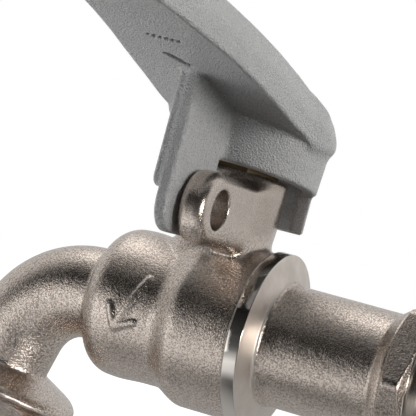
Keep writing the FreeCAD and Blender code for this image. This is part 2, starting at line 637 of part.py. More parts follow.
tab_outer = cylinder("tab_outer", d + "tab_rad", "dims.hub_roof - dims.tab_low", x="0 mm", z=d + "tab_low")
tab_outer.setExpression("Angle", "dims.tab_sweep")
tab_outer.Placement = FreeCAD.Placement(tab_outer.Placement.Base, FreeCAD.Rotation(Z_AXIS, size["tab_from"]))
tab_trim = box("tab_trim", "20", "20", "30", "0", "dims.tab_face - 20", "dims.tab_low - 1")
stop_tab = cut("stop_tab", tab_outer, tab_trim)

lever_solid = fuse("lever_solid", [lever_head, lever_blade, skirt, fin_web, fin_rib, stop_tab])
skirt_hollow = cylinder("skirt_hollow", d + "skirt_in", "dims.hub_roof - dims.tab_low + 1",
                        x="0 mm", z="dims.tab_low - 1")
recess = cylinder("recess", d + "recess_rad", "20", x="0 mm", z=d + "recess_floor")
square_hole = box("square_hole", "dims.stem_square + 0.1", "dims.stem_square + 0.1", "20",
                  "-dims.stem_square / 2 - 0.05", "-dims.stem_square / 2 - 0.05", "dims.hub_roof - 5")
fin_hole = cylinder("fin_hole", d + "lock_rad", "dims.fin_rib + 4", TO_X,
                    x="dims.fin_face - dims.fin_rib - 2", y="-dims.lock_reach", z="dims.lock_high")
top_trim = padded("top_trim", "YZ_Plane", [
    (fixed(24.0), fixed(31.7)),
    *[(fixed(-along), fixed(value)) for along, value in TOPSIDE[:4]],
    (fixed(0.0), fixed(70.0)),
    (fixed(24.0), fixed(70.0)),
], 40, "40")
lever_tools = fuse("lever_tools", [skirt_hollow, recess, square_hole, fin_hole, top_trim])
lever = place(cut("lever", lever_solid, lever_tools), x=STEM_X)

# ---------------------------------------------------------------- lever fastening
lever_flat_washer = ring("lever_flat_washer", C("screw_rad", (0.2, 1)), C("flat_washer_rad"),
                         C("recess_floor"), C("recess_floor", "flat_washer_thick"))
spring_low = ("recess_floor", "flat_washer_thick")
lever_spring_washer = ring("lever_spring_washer", C("screw_rad", (0.2, 1)), C("spring_washer_rad"),
                           C(*spring_low), C(*spring_low, "spring_washer_thick"))
head_low = (*spring_low, "spring_washer_thick")
lever_screw_turned = turned("lever_screw_turned", [
    (ZERO, C("screw_low")),
    (C("screw_rad", (-0.5, 1)), C("screw_low")),
    (C("screw_rad"), C("screw_low", (0.5, 1))),
    (C("screw_rad"), C(*head_low)),
    (C("screw_head_rad"), C(*head_low)),
    (C("screw_head_rad"), C(*head_low, "screw_head_high", (-0.6, 1))),
    (C("screw_head_rad", (-0.6, 1)), C(*head_low, "screw_head_high")),
    (ZERO, C(*head_low, "screw_head_high")),
])
screw_socket = hexagon("screw_socket", "3.0", "5",
                       z="dims.recess_floor + dims.flat_washer_thick + dims.spring_washer_thick + 1")
lever_screw = cut("lever_screw", lever_screw_turned, screw_socket)
lever_cap = turned("lever_cap", [
    (C("cap_rad", (-1.3, 1)), C("recess_floor", (1.4, 1))),
    (C("cap_rad"), C("recess_floor", (1.4, 1))),
    (C("cap_rad"), C("cap_low")),
    (C("cap_rad", (-0.5, 1)), C("cap_top", (-0.9, 1))),
    (C("cap_rad", (-2.0, 1)), C("cap_top", (-0.25, 1))),
    (ZERO, C("cap_top")),
    (ZERO, C("cap_low", (0.6, 1))),
    (C("cap_rad", (-1.3, 1)), C("cap_low", (0.6, 1))),
])

# ---------------------------------------------------------------- union at the outlet
nut_start = "dims.rim_end + dims.nut_gap"
nut_hex = along_outlet("nut_hex", hexagon, d + "nut_across", d + "nut_hex_len", start=nut_start)
nut_trim = turned("nut_trim", [
    (ZERO, C("rim_end", "nut_gap")),
    (C(("nut_across", 0.5)), C("rim_end", "nut_gap")),
    (C(("nut_across", 0.5), (2.4, 1)), C("rim_end", "nut_gap", (1.4, 1))),
    (C(("nut_across", 0.5), (2.4, 1)), C("rim_end", "nut_gap", "nut_hex_len", (-1.4, 1))),
    (C(("nut_across", 0.5)), C("rim_end", "nut_gap", "nut_hex_len")),
    (ZERO, C("rim_end", "nut_gap", "nut_hex_len")),
], **OUTLET)
nut_outer = common("nut_outer", [nut_hex, nut_trim])
nut_collar = turned("nut_collar", [
    (ZERO, C("rim_end", (4.0, 1))),
    (C("nut_collar_rad"), C("rim_end", (4.0, 1))),
    (C("nut_collar_rad"), C("nut_end", (-1.2, 1))),
    (C("nut_collar_rad", (-1.2, 1)), C("nut_end")),
    (ZERO, C("nut_end")),
], **OUTLET)
nut_blank = fuse("nut_blank", [nut_outer, nut_collar])
nut_bore = along_outlet("nut_bore", cylinder, "dims.outlet_thread_rad + 0.1",
                        "dims.outlet_end + dims.gasket_thick + dims.tail_flange + 0.1")
tail_hole = along_outlet("tail_hole", cylinder, "dims.barb_rad + 0.5", "dims.nut_end + 2")
nut_tools = fuse("nut_tools", [nut_bore, tail_hole])
union_nut = cut("union_nut", nut_blank, nut_tools)

union_gasket = ring("union_gasket", C("tail_bore", (2.6, 1)), C("outlet_thread_rad", (-0.5, 1)),
                    C("outlet_end"), C("outlet_end", "gasket_thick"), **OUTLET)

tail_top = ("outlet_end", "gasket_thick")
tail_end = ("nut_end", "tail_len")
BARBS = 4
tail_profile = [
    (C("tail_bore"), C(*tail_top)),
    (C("outlet_thread_rad", (-0.4, 1)), C(*tail_top)),
    (C("outlet_thread_rad", (-0.4, 1)), C(*tail_top, "tail_flange")),
    (C("barb_rad", (0.3, 1)), C(*tail_top, "tail_flange")),
    (C("barb_rad", (0.3, 1)), C("nut_end", (0.6, 1))),
    (C("tail_rad"), C("nut_end", (1.4, 1))),
]
barb_pitch = 5.0
for number in range(BARBS):
    first = 27.0 - barb_pitch * (BARBS - number)
    tail_profile += [
        (C("tail_rad"), C("nut_end", (first, 1))),
        (C("barb_rad"), C("nut_end", (first + 0.3, 1))),
        (C("barb_rad"), C("nut_end", (first + 1.2, 1))),
        (C("tail_rad"), C("nut_end", (first + barb_pitch, 1))),
    ] if number < BARBS - 1 else [
        (C("tail_rad"), C("nut_end", (first, 1))),
        (C("barb_rad"), C("nut_end", (first + 0.3, 1))),
        (C("barb_rad"), C("nut_end", (first + 1.2, 1))),
        (C("tail_rad", (-0.4, 1)), C(*tail_end)),
    ]
tail_profile.append((C("tail_bore"), C(*tail_end)))
unique = [point for point, before in zip(tail_profile, [None] + tail_profile) if point != before]
hose_tail = turned("hose_tail", unique, **OUTLET)

# ---------------------------------------------------------------- check and export
NODES = [valve_body, inlet_adapter, body_seal_ring, ball, seat_inlet, seat_outlet, stem,
         stem_thrust_washer, stem_o_ring_lower, stem_o_ring_upper, gland_packing, gland_ring,
         gland_nut, lever, lever_flat_washer, lever_spring_washer, lever_screw, lever_cap,
         union_nut, union_gasket, hose_tail]
doc.recompute()

for obj in doc.Objects:
    if "Invalid" in obj.State or "Error" in obj.State:
        raise RuntimeError(f"{obj.Name} failed: {obj.State}")
for node in NODES:
    if node.Shape.isNull() or not node.Shape.isValid():
        raise RuntimeError(f"{node.Label} has no valid shape")
    if len(node.Shape.Solids) != 1:
        raise RuntimeError(f"{node.Label} has {len(node.Shape.Solids)} solids")

os.makedirs("parts", exist_ok=True)
for node in NODES:
    node.Shape.exportStep(f"parts/{node.Label}.step")
    bounds = node.Shape.BoundBox
    print(f"{node.Label}: volume {node.Shape.Volume:.1f}, x {bounds.XMin:.2f}..{bounds.XMax:.2f}, "
          f"y {bounds.YMin:.2f}..{bounds.YMax:.2f}, z {bounds.ZMin:.2f}..{bounds.ZMax:.2f}")
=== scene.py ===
"""Lockable garden ball valve (bibcock): visual model, materials, studio and camera.

Shapes are worked out in millimetres in the row frame and stored in metres."""
import json
import math

import bpy
import numpy as np
from mathutils import Matrix, Vector


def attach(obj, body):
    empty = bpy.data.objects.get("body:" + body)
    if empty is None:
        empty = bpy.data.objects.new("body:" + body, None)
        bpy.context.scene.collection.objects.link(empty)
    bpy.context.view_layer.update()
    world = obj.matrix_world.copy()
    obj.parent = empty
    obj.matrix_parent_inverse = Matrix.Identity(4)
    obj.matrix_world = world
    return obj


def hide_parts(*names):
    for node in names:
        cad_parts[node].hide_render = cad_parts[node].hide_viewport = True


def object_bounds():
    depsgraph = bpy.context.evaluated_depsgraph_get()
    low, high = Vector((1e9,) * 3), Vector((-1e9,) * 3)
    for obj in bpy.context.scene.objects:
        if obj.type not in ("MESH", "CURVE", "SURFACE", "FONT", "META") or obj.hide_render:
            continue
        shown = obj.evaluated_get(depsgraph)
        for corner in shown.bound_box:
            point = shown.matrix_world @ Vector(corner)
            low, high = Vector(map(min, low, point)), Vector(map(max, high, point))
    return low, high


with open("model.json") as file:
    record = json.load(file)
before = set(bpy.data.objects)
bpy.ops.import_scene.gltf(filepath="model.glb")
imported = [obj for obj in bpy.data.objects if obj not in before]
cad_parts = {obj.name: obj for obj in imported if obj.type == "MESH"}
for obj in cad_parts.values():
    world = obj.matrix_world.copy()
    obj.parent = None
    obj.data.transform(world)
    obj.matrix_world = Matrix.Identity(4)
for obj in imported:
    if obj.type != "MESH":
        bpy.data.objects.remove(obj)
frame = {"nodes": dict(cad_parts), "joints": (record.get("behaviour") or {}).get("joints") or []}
cad_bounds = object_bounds()
nodes = frame["nodes"]
joints = {joint["name"]: joint for joint in frame["joints"]}

MM = 0.001
STEM = joints["lever_turn"]["pos_m"][0] / MM
OUT = np.array(joints["union_nut_turn"]["axis"], float)
SIDE = np.array([-OUT[2], 0.0, OUT[0]])
BEND_RAD = 14.8
BEND_START = STEM - 22.0
TILT = math.atan2(-OUT[2], -OUT[0])
END = np.array([BEND_START - BEND_RAD * math.sin(TILT), 0.0, -BEND_RAD * (1 - math.cos(TILT))])
SPOUT_RAD = 8.9
BORE_RAD = 6.6
PITCH = 1.814
THREAD_DEPTH = 1.1
# the padlock hole: distance from the stem, height and radius
LOCK_REACH = 23.0
LOCK_HEIGHT = 21.3
LOCK_RAD = 3.75


# ---------------------------------------------------------------- solid fields
def smin(a, b, blend):
    """Smaller of two distances, with a fillet about blend wide."""
    near = np.maximum(blend - np.abs(a - b), 0.0) / blend
    return np.minimum(a, b) - near * near * blend * 0.25


def smax(a, b, blend):
    """Larger of two distances, with the edge rounded the same way."""
    return -smin(-a, -b, blend)


def rounded(a, b, radius):
    """What lies inside both distances, with the shared edge rounded."""
    a = a + radius
    b = b + radius
    corner = np.hypot(np.maximum(a, 0.0), np.maximum(b, 0.0))
    return np.minimum(np.maximum(a, b), 0.0) + corner - radius


def ramp(start, end, value):
    """0 before start, 1 after end, smooth between."""
    part = np.clip((value - start) / (end - start), 0.0, 1.0)
    return part * part * (3.0 - 2.0 * part)


def stroke(px, py, points):
    """Distance in a plane to a line through points."""
    best = None
    for (ax, ay), (bx, by) in zip(points, points[1:]):
        length = (bx - ax) ** 2 + (by - ay) ** 2
        along = np.clip(((px - ax) * (bx - ax) + (py - ay) * (by - ay)) / length, 0.0, 1.0)
        gap = np.hypot(px - ax - along * (bx - ax), py - ay - along * (by - ay))
        best = gap if best is None else np.minimum(best, gap)
    return best


def smooth_curve(points, window, step=0.25):
    """A dense table of a polyline with its corners smoothed over window."""
    at = np.array([point[0] for point in points], float)
    value = np.array([point[1] for point in points], float)
    dense = np.arange(at[0] - window, at[-1] + window, step)
    first = (value[1] - value[0]) / (at[1] - at[0])
    last = (value[-1] - value[-2]) / (at[-1] - at[-2])
    line = np.interp(dense, at, value)
    line = np.where(dense < at[0], value[0] + (dense - at[0]) * first, line)
    line = np.where(dense > at[-1], value[-1] + (dense - at[-1]) * last, line)
    kernel = np.hanning(int(window / step) | 1)
    kernel /= kernel.sum()
    half = len(kernel) // 2
    smooth = np.convolve(line, kernel, mode="same")
    smooth[:half] = line[:half]
    smooth[-half:] = line[-half:]
    return dense, smooth


def outlet_coordinates(x, y, z):
    """Distance along the outlet axis from the bend's end, radius from that axis and angle round it."""
    dx = x - END[0]
    dz = z - END[2]
    along = dx * OUT[0] + dz * OUT[2]
    across = dx * SIDE[0] + dz * SIDE[2]
    return along, np.hypot(across, y), np.arctan2(y, across)


def spout_axis(x, y, z):
    """Distance from the spout's centreline: pipe axis, bend, outlet axis."""
    px = x - BEND_START
    pz = z + BEND_RAD
    angle = np.clip(np.arctan2(-px, pz), 0.0, TILT)
    nearx = -BEND_RAD * np.sin(angle)
    nearz = BEND_RAD * np.cos(angle)
    arc = np.sqrt((px - nearx) ** 2 + (pz - nearz) ** 2 + y * y)
    along, radius, turn = outlet_coordinates(x, y, z)
    arc = np.where((along > 0) & (px < 0), radius, arc)
    return np.where(px > 0, np.hypot(y, z), arc)


def thread(along, turn, radius):
    """Radius of a rounded right-hand thread; turn counts against the right-hand rule about the axis."""
    phase = (along / PITCH + turn / (2 * math.pi)) % 1.0
    tooth = np.abs(phase * 2.0 - 1.0)
    return radius - THREAD_DEPTH * ramp(0.12, 0.88, tooth)


# the raised flow arrow: shaft and head, along the pipe and round the barrel
ARROW = [
    [(-6.9, 5.8), (-11.3, -4.8)],
    [(-7.6, -3.0), (-11.3, -4.8), (-12.9, -0.9)],
]


def casting_field(x, y, z):
    """The casting as a distance, negative inside the metal."""
    u = x - STEM
    radius_x = np.hypot(y, z)
    swell = 14.1 + 0.35 * np.exp(-((u + 13.0) / 3.6) ** 2) + 2.3 * ramp(-4.8, 1.2, u)
    around = np.arctan2(z, -y) * 14.3
    mark = np.minimum(stroke(u, around, ARROW[0]), stroke(u, around, ARROW[1])) - 0.55
    swell = swell + 0.36 * (1.0 - ramp(-0.35, 0.45, mark)) * (y < 0)
    side = (radius_x - swell) * 0.94
    barrel = rounded(rounded(side, -20.0 - u, 4.6), u - 12.25, 0.2)

    neck_radius = np.hypot(u, y)
    neck = np.maximum(rounded(neck_radius - 9.0 - 0.06 * (z - 21.0), z - 29.6, 0.7), -z)
    body = smin(barrel, neck, 2.0)

    half = 2.93 - 0.21 * ramp(-6.0, -30.0, y)
    reach = np.clip(y, -24.2, 0.0)
    outline = np.hypot(y - reach, z - 21.1) - 6.8
    ear = rounded(outline, np.abs(u - 1.8 - half) - half, 1.9)
    body = smin(body, ear, 2.6)

    axis = spout_axis(x, y, z)
    along, radius, turn = outlet_coordinates(x, y, z)
    spout = np.maximum(axis - SPOUT_RAD, along - 9.0)
    body = smin(body, spout, 1.7)
    top = (5.9 - along) * 0.942 + (radius - SPOUT_RAD) * 0.337
    flare = smax(smax(top, radius - 17.4, 1.8), along - 10.4, 0.9)
    body = smin(body, flare, 0.8)
    crest = thread(along, turn, 13.2)
    outlet = rounded((radius - crest) * 0.8, along - 19.6, 0.6)
    body = np.minimum(body, np.maximum(outlet, 9.0 - along))

    hollow = np.minimum(axis - BORE_RAD, np.maximum(radius_x - 9.95, -11.2 - u))
    hollow = np.minimum(hollow, np.maximum(radius_x - 11.5, -7.0 - u))
    hollow = np.minimum(hollow, np.maximum(radius_x - 13.0, 7.3 - u))
    bore = np.maximum(neck_radius - 4.56, -z)
    bore = np.minimum(bore, np.maximum(neck_radius - 6.55, np.maximum(-z, z - 13.2)))
    bore = np.minimum(bore, np.maximum(neck_radius - 6.5, 20.4 - z))
    body = smax(body, -np.minimum(hollow, bore), 0.3)
    lock = np.hypot(y + LOCK_REACH, z - LOCK_HEIGHT) - LOCK_RAD
    return smax(body, -lock, 0.35)


# the lever from the side and from above, by distance from the stem
UNDERSIDE = smooth_curve([(-18.0, 34.0), (-6.0, 37.4), (6.0, 37.9), (15.0, 39.6), (25.0, 42.0), (35.0, 44.2),
                          (45.0, 46.3), (56.0, 48.2), (68.0, 50.0), (78.0, 51.2), (88.0, 52.0)], 9.0)
TOPSIDE = smooth_curve([(-18.0, 35.0), (-10.0, 39.4), (-5.0, 42.1), (0.0, 44.5), (7.0, 46.9), (15.0, 49.1),
                        (25.0, 51.4), (35.0, 53.4), (50.0, 56.2), (60.0, 57.8), (70.0, 59.2), (80.0, 60.3),
                        (88.0, 60.9)], 6.0)
HALF_WIDTH = smooth_curve([(0.0, 15.3), (18.0, 14.2), (30.0, 13.6), (40.0, 12.9), (50.0, 11.8), (60.0, 10.7),
                           (70.0, 9.8), (90.0, 8.4)], 9.0)
TIP = 76.6
# the two marks pressed into the underside, across and along the lever
TICKS = [[(-2.7, 50.6), (3.2, 50.4)], [(-2.8, 40.9), (-1.0, 38.3), (0.3, 36.9)]]


def lever_field(x, y, z):
    """The lever as a distance, negative inside the metal."""
    u = x - STEM
    along = -y
    low = np.interp(along, *UNDERSIDE)
    top = np.interp(along, *TOPSIDE)
    wave = along + 0.4 * np.sin(5.2 * u)
    groove = np.minimum(stroke(u, wave, TICKS[0]) - 0.6, stroke(u, along, TICKS[1]) - 0.7)
    under = (low + 1.1 * (1.0 - ramp(-0.4, 0.25, groove)) - z) * 0.97
    over = (z - top) * 0.92
    radius = np.hypot(u, y)

    side = np.abs(u) - np.interp(along, *HALF_WIDTH)
    end = np.hypot(u, along - TIP) - np.interp(TIP, *HALF_WIDTH)
    side = np.where(along > TIP, end, side)
    bevel = (side * 4.6 + (z - top + 4.6) * 2.0) / 5.1
    blade = smax(smax(side, bevel, 0.5), over, 0.7)
    blade = np.maximum(smax(blade, under, 0.8), -2.0 - along)

    shoulder = np.maximum(top - 4.6, 39.2)
    side = radius - 16.4
    bevel = (side * 4.6 + (z - shoulder) * 2.0) / 5.1
    chamfer = ((radius - 15.4) * 1.45 - (z - 36.15)) / 1.76
    below = (low - 3.0 * (1.0 - ramp(2.0, 9.0, along)) - z) * 0.97
    head = smax(smax(smax(side, bevel, 0.5), over, 0.7), smax(chamfer, below, 0.8), 0.5)
    body = smin(head, blade, 0.8)

    skirt = rounded(radius - 14.9 - (z - 27.2) * 0.056, 29.2 + 0.1 * along - z, 0.6)
    skirt = np.maximum(skirt, np.maximum(z - np.maximum(low, 37.0) - 1.5, over + 0.1))
    body = smin(body, skirt, 0.6)

    inner = 15.6 - 3.0 * ramp(30.2, 31.4, z)
    web = np.maximum(rounded(along - 34.8, 15.0 - z, 6.0), np.maximum(inner - along, z - low - 2.0))
    web = rounded(web, np.abs(u - 0.35) - 1.15, 0.7)
    rib = np.maximum(rounded(along - 34.3, 22.6 - z, 2.0), np.maximum(inner - along, z - low - 2.0))
    rib = rounded(rib, np.abs(u + 0.55) - 2.05, 0.8)
    fin = smin(web, rib, 0.8)
    lock = np.hypot(along - LOCK_REACH, z - LOCK_HEIGHT) - LOCK_RAD
    fin = smax(fin, -lock, 0.7)
    body = smin(body, fin, 1.1)

    stop = math.radians(108.0)
    sector = np.maximum(7.9 - y, math.cos(stop) * y - math.sin(stop) * u)
    tab = np.maximum(np.abs(radius - 13.55) - 1.25, z - 34.0)
    tab = rounded(rounded(tab, 20.9 - z, 0.6), sector, 0.5)
    body = smin(body, tab, 0.5)

    hollow = np.maximum(radius - 12.3, z - 36.0)
    hollow = np.maximum(hollow, 26.0 - z)
    tool = np.minimum(hollow, np.maximum(radius - 8.1, 38.2 - z))
    tool = np.minimum(tool, np.maximum(np.maximum(np.abs(u), np.abs(y)) - 3.25, 35.0 - z))
    return smax(body, -tool, 0.4)


def surface_nets(field, low, high, step):
    """Vertices and quads of the zero surface of field in a box, on a grid of step."""
    low = np.array(low, float)
    block = 8
    blocks = np.ceil((np.array(high) - low) / (step * block)).astype(int)
    grid = blocks * block + 1
    centres = [low[axis] + (np.arange(blocks[axis]) + 0.5) * block * step for axis in range(3)]
    middle = field(*np.meshgrid(*centres, indexing="ij"))
    active = np.argwhere(np.abs(middle) < block * step * 1.5 + 0.8)
    value = np.ones(grid, np.float32)
    inner = middle
    for axis in range(3):
        inner = np.repeat(inner, block, axis=axis)
    value[:-1, :-1, :-1] = np.where(inner < 0, -1.0, 1.0)
    offset = np.arange(block + 1)
    for batch in np.array_split(active, max(1, len(active) // 600)):
        index = [batch[:, axis, None] * block + offset[None, :] for axis in range(3)]
        ix = index[0][:, :, None, None]
        iy = index[1][:, None, :, None]
        iz = index[2][:, None, None, :]
        shape = (len(batch), block + 1, block + 1, block + 1)
        at = [np.broadcast_to(low[axis] + i * step, shape) for axis, i in enumerate((ix, iy, iz))]
        value[ix, iy, iz] = field(*at)
    inside = value < 0
    cells = tuple(count - 1 for count in grid)
    corners = [(a, b, c) for a in (0, 1) for b in (0, 1) for c in (0, 1)]
    total = np.zeros(cells, np.int8)
    for a, b, c in corners:
        total += inside[a:cells[0] + a, b:cells[1] + b, c:cells[2] + c]
    mixed = np.argwhere((total > 0) & (total < 8))
    number = np.full(cells, -1, np.int32)
    number[tuple(mixed.T)] = np.arange(len(mixed))
    held = {corner: value[tuple((mixed + corner).T)] for corner in corners}
    position = np.zeros((len(mixed), 3))
    crossings = np.zeros(len(mixed))
    for corner in corners:
        for axis in range(3):
            if corner[axis]:
                continue
            other = tuple(1 if i == axis else corner[i] for i in range(3))
            first = held[corner]
            second = held[other]
            crossed = (first < 0) != (second < 0)
            part = np.where(crossed, first / np.where(crossed, first - second, 1.0), 0.0)
            point = np.array(corner, float) + np.eye(3)[axis] * part[:, None]
            position += point * crossed[:, None]
            crossings += crossed
    vertices = low + (mixed + position / crossings[:, None]) * step
    quads = []
    for axis in range(3):
        b = (axis + 1) % 3
        c = (axis + 2) % 3
        first = [slice(1, -1)] * 3
        second = [slice(1, -1)] * 3
        first[axis] = slice(0, -1)
        second[axis] = slice(1, None)
        changed = np.argwhere(inside[tuple(first)] != inside[tuple(second)])
        changed = changed + np.array([0 if i == axis else 1 for i in range(3)])
        around = []
        for db, dc in ((-1, -1), (0, -1), (0, 0), (-1, 0)):
            cell = changed.copy()
            cell[:, b] += db
            cell[:, c] += dc
            around.append(number[tuple(cell.T)])
        quad = np.stack(around, -1)
        outward = inside[tuple(changed.T)]
        quad[~outward] = quad[~outward][:, ::-1]
        quads.append(quad)
    quads = np.concatenate(quads)
    for _ in range(3):
        slope, height = gradient(field, vertices)
        vertices -= slope * np.clip(height / np.maximum((slope ** 2).sum(1), 0.2), -step, step)[:, None]
    return vertices, quads


def gradient(field, points):
    """Slope and value of field at points."""
    height = field(*points.T)
    slope = np.empty_like(points)
    small = 0.01
    for axis in range(3):
        shifted = points.copy()
        shifted[:, axis] += small
        slope[:, axis] = (field(*shifted.T) - height) / small
    return slope, height


# ---------------------------------------------------------------- mesh helpers
def make_object(name, vertices, faces, sharp=None):
    """An object from vertices in millimetres and faces; sharp is the crease angle in degrees."""
    mesh = bpy.data.meshes.new(name)
    vertices = np.asarray(vertices, np.float64) * MM
    if isinstance(faces, np.ndarray):
        size = faces.shape[1]
        mesh.vertices.add(len(vertices))
        mesh.vertices.foreach_set("co", vertices.astype(np.float32).ravel())
        mesh.loops.add(faces.size)
        mesh.loops.foreach_set("vertex_index", faces.astype(np.int32).ravel())
        mesh.polygons.add(len(faces))
        mesh.polygons.foreach_set("loop_start", np.arange(0, faces.size, size, dtype=np.int32))
        mesh.update(calc_edges=True)
    else:
        mesh.from_pydata(vertices.tolist(), [], faces)
        mesh.update()
    mesh.validate()
    mesh.shade_smooth()
    if sharp is not None:
        mesh.set_sharp_from_angle(angle=math.radians(sharp))
    obj = bpy.data.objects.new(name, mesh)
    bpy.context.scene.collection.objects.link(obj)
    return obj


def frame_points(origin, axis, across, along, radius, turn):
    """Points at a distance along an axis, a radius and an angle round it."""
    third = np.cross(axis, across)
    radial = np.cos(turn)[..., None] * across + np.sin(turn)[..., None] * third
    return origin + along[..., None] * axis + radius[..., None] * radial


PIPE = (np.zeros(3), np.array([1.0, 0.0, 0.0]), np.array([0.0, 1.0, 0.0]))
UPRIGHT = (np.array([STEM, 0.0, 0.0]), np.array([0.0, 0.0, 1.0]), np.array([1.0, 0.0, 0.0]))
OUTLET = (END, OUT, np.array([0.0, 1.0, 0.0]))


def soften(points, steps=3):
    """Round the corners of a closed profile: points are (along, radius, rounding)."""
    result = []
    count = len(points)
    for index, point in enumerate(points):
        size = point[2]
        here = np.array(point[:2], float)
        before = np.array(points[index - 1][:2], float) - here
        after = np.array(points[(index + 1) % count][:2], float) - here
        size = min(size, 0.45 * np.linalg.norm(before), 0.45 * np.linalg.norm(after))
        if size <= 0:
            result.append(here)
            continue
        start = here + before / np.linalg.norm(before) * size
        end = here + after / np.linalg.norm(after) * size
        for part in np.linspace(0.0, 1.0, steps + 1):
            result.append(start * (1 - part) ** 2 + here * 2 * part * (1 - part) + end * part ** 2)
    return np.array(result)


def sweep(name, columns, sharp):
    """A closed tube of points: columns[angle, profile point] as an array of positions."""
    turns, count = columns.shape[:2]
    index = np.arange(turns * count).reshape(turns, count)
    right = np.roll(index, -1, axis=0)
    faces = np.stack([index, np.roll(index, -1, axis=1), np.roll(right, -1, axis=1), right], -1)
    return make_object(name, columns.reshape(-1, 3), faces.reshape(-1, 4), sharp)


def lathe(name, place, points, segments):
    """A closed profile turned round the axis of place."""
    profile = soften(points)
    turn = np.linspace(0.0, 2 * math.pi, segments, endpoint=False)[:, None]
    along = np.broadcast_to(profile[None, :, 0], (segments, len(profile)))
    radius = np.broadcast_to(profile[None, :, 1], (segments, len(profile)))
    turn = np.broadcast_to(turn, along.shape)
    return sweep(name, frame_points(*place, along, radius, turn), 35.0)


def hexagon(name, place, across, start, end, bore, chamfers, phase, soft, segments=480):
    """A hexagonal ring with cone chamfers: (cut off the corner radius, slope) at start and at end."""
    turn = np.linspace(0.0, 2 * math.pi, segments, endpoint=False)
    folded = np.abs((turn - phase + math.pi / 6) % (math.pi / 3) - math.pi / 6)
    radius = across / 2 / np.cos(folded)
    radius = smin(radius, across / 2 / np.cos(math.pi / 3 - folded), soft)
    corner = radius.max()
    columns = []
    for face, inward, (cut, slope) in ((start, 1.0, chamfers[0]), (end, -1.0, chamfers[1])):
        rim = np.minimum(radius, corner - cut)
        depth = np.maximum(radius - corner + cut, 0.0) * slope
        # the small offsets break the face's rim and both ends of the chamfer
        points = [(np.full_like(turn, face), np.full_like(turn, bore)),
                  (np.full_like(turn, face), rim - 0.22),
                  (np.full_like(turn, face + inward * 0.1), rim - 0.06),
                  (face + inward * (depth * 0.5 + 0.2), rim * 0.5 + radius * 0.5),
                  (face + inward * (depth + 0.2), radius - 0.12),
                  (face + inward * (depth + 0.36), radius - 0.03),
                  (face + inward * (depth + 0.6), radius)]
        columns += points if inward > 0 else points[::-1]
    along = np.stack([point[0] for point in columns], 1)
    radii = np.stack([point[1] for point in columns], 1)
    turns = np.broadcast_to(turn[:, None], along.shape)
    return sweep(name, frame_points(*place, along, radii, turns), 50.0)


def ride(obj, body, material, replaces=()):
    """Give obj its body, its look and the CAD solids it stands for."""
    obj.data.materials.clear()
    obj.data.materials.append(material)
    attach(obj, body)
    if replaces:
        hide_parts(*replaces)


# ---------------------------------------------------------------- materials
class Nodes:
    """A short way to write a node tree."""

    def __init__(self, name):
        self.material = bpy.data.materials.new(name)
        self.material.use_nodes = True
        self.tree = self.material.node_tree
        self.tree.nodes.clear()
        self.output = self.tree.nodes.new("ShaderNodeOutputMaterial")
        self.shader = self.tree.nodes.new("ShaderNodeBsdfPrincipled")
        self.link(self.shader.outputs[0], self.output.inputs[0])
        self.place = self.tree.nodes.new("ShaderNodeTexCoord").outputs["Object"]

    def link(self, source, target):
        self.tree.links.new(source, target)

    def value(self, name, value):
        self.shader.inputs[name].default_value = value

    def noise(self, scale, detail=2.0, roughness=0.5, vector=None):
        node = self.tree.nodes.new("ShaderNodeTexNoise")
        node.inputs["Scale"].default_value = scale
        node.inputs["Detail"].default_value = detail
        node.inputs["Roughness"].default_value = roughness
        self.link(vector or self.place, node.inputs["Vector"])
        return node.outputs["Fac"]

    def range(self, source, low, high, to_low, to_high):
        node = self.tree.nodes.new("ShaderNodeMapRange")
        for name, value in (("From Min", low), ("From Max", high), ("To Min", to_low), ("To Max", to_high)):
            node.inputs[name].default_value = value
        self.link(source, node.inputs["Value"])
        return node.outputs["Result"]

    def math(self, operation, first, second):
        node = self.tree.nodes.new("ShaderNodeMath")
        node.operation = operation
        for index, value in enumerate((first, second)):
            if isinstance(value, (int, float)):
                node.inputs[index].default_value = value
            else:
                self.link(value, node.inputs[index])
        return node.outputs[0]

    def colours(self, factor, first, second):
        node = self.tree.nodes.new("ShaderNodeMix")
        node.data_type = "RGBA"
        node.inputs[6].default_value = (*first, 1.0)
        node.inputs[7].default_value = (*second, 1.0)
        self.link(factor, node.inputs[0])
        return node.outputs[2]

    def mix(self, factor, first, second):
        node = self.tree.nodes.new("ShaderNodeMix")
        node.data_type = "RGBA"
        self.link(factor, node.inputs[0])
        self.link(first, node.inputs[6])
        node.inputs[7].default_value = (*second, 1.0)
        return node.outputs[2]

    def pointiness(self, low, high):
        """1 on outer edges, 0 elsewhere."""
        node = self.tree.nodes.new("ShaderNodeNewGeometry")
        return self.range(node.outputs["Pointiness"], low, high, 0.0, 1.0)

    def row_height(self):
        """Height above the pipe axis."""
        split = self.tree.nodes.new("ShaderNodeSeparateXYZ")
        self.link(self.place, split.inputs[0])
        return split.outputs[2]

    def bump(self, height, distance, strength=1.0, normal=None):
        node = self.tree.nodes.new("ShaderNodeBump")
        node.inputs["Strength"].default_value = strength
        node.inputs["Distance"].default_value = distance
        self.link(height, node.inputs["Height"])
        if normal is not None:
            self.link(normal, node.inputs["Normal"])
        return node.outputs["Normal"]

    def finish(self, colour=None, roughness=None, normal=None):
        if colour is not None:
            self.link(colour, self.shader.inputs["Base Color"])
        if roughness is not None:
            self.link(roughness, self.shader.inputs["Roughness"])
        if normal is not None:
            self.link(normal, self.shader.inputs["Normal"])
        return self.material


# between these heights, in metres, the grain of the casting fades out
FADE_LOW = 0.0168
FADE_HIGH = 0.0195


